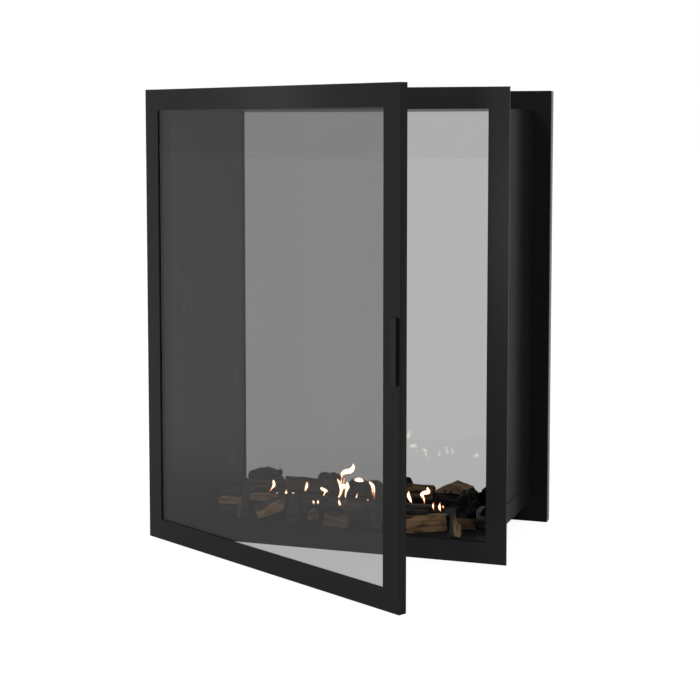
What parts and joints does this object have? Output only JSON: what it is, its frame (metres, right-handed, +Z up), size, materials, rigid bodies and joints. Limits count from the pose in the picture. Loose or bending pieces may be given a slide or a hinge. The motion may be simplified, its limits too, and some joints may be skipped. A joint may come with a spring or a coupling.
{
  "type": "built-in bioethanol fireplace",
  "caption": "See-through fireplace casing for a wall opening, with a framed glass door at front and rear, a drop-in ethanol burner with a sliding shutter, and a bed of ceramic logs.",
  "frame": {"origin": "centre of the four anchor holes in the underside of the base tray, which sits on the sill of the wall opening", "axes": "+Z up, normal to the tray's underside; +Y to the rear; the front door faces -Y and is hinged at -X"},
  "size_m": [0.8173, 0.8476, 1],
  "materials": {
    "frame_black": "satin black powder coat",
    "casing_black": "satin black powder coat",
    "door_black": "satin black powder coat",
    "pull_black": "satin black powder coat",
    "deck_black": "matt heatproof black",
    "pane": "grey tinted toughened glass",
    "tape": "woven glass tape, black",
    "seal": "matt black silicone",
    "bracket": "black powder coat",
    "stainless": "brushed",
    "fastener": "zinc plated",
    "magnet": "nickel plated",
    "wool": "loose white fibre",
    "dark_log": "charred bark, matt",
    "brown_log": "brown split wood, matt",
    "light_log": "pale split wood, matt"
  },
  "bodies": {
    "casing": {"front_frame": "frame_black", "rear_frame": "frame_black", "base_tray": "casing_black", "left_wall": "casing_black", "right_wall": "casing_black", "roof_panel": "casing_black", "left_liner": "casing_black", "right_liner": "casing_black", "burner_deck": "deck_black", "front_hinge_brackets": "bracket", "rear_hinge_brackets": "bracket", "burner_tank": "stainless", "deck_posts": "stainless", "shutter_guides": "stainless", "bracket_screws": "fastener", "deck_screws": "fastener", "ceramic_wool": "wool", "bark_log_left": "dark_log", "big_bark_left": "dark_log", "back_bark_mid": "dark_log", "bark_log_mid": "dark_log", "back_bark_right": "dark_log", "dark_planks": "dark_log", "big_bark_right": "dark_log", "low_dark_slabs": "dark_log", "bark_log_front": "dark_log", "grey_bark_left": "dark_log", "short_brown_logs": "brown_log", "long_brown_log": "brown_log", "brown_chunk": "brown_log", "floor_blocks": "brown_log", "light_wedge": "light_log", "pale_blocks": "light_log", "big_light_log": "light_log", "tilted_block": "light_log", "thin_planks": "light_log", "upright_sticks": "light_log"},
    "front_door": {"front_door_frame": "door_black", "front_glass": "pane", "front_glass_tape": "tape", "front_seal": "seal", "front_glass_clips": "bracket", "front_clip_nuts": "fastener", "front_pull": "pull_black", "front_pull_screws": "fastener", "front_hinge_pins": "fastener", "front_magnets": "magnet"},
    "rear_door": {"rear_door_frame": "door_black", "rear_glass": "pane", "rear_glass_tape": "tape", "rear_seal": "seal", "rear_glass_clips": "bracket", "rear_clip_nuts": "fastener", "rear_pull": "pull_black", "rear_pull_screws": "fastener", "rear_hinge_pins": "fastener", "rear_magnets": "magnet"},
    "burner_shutter": {"shutter": "stainless", "shutter_knob": "stainless"}
  },
  "joints": [
    {"name": "front_door_hinge", "type": "hinge", "parent": "casing", "child": "front_door", "pos_m": [-0.4, -0.2105, 0.453], "axis": [0, 0, 1], "range_deg": [-76, 29]},
    {"name": "rear_door_hinge", "type": "hinge", "parent": "casing", "child": "rear_door", "pos_m": [-0.4, 0.2105, 0.453], "axis": [0, 0, 1], "range_deg": [0, 105]},
    {"name": "shutter_slide", "type": "slide", "parent": "casing", "child": "burner_shutter", "axis": [0, 1, 0], "range_m": [-0.055, 0]}
  ]
}
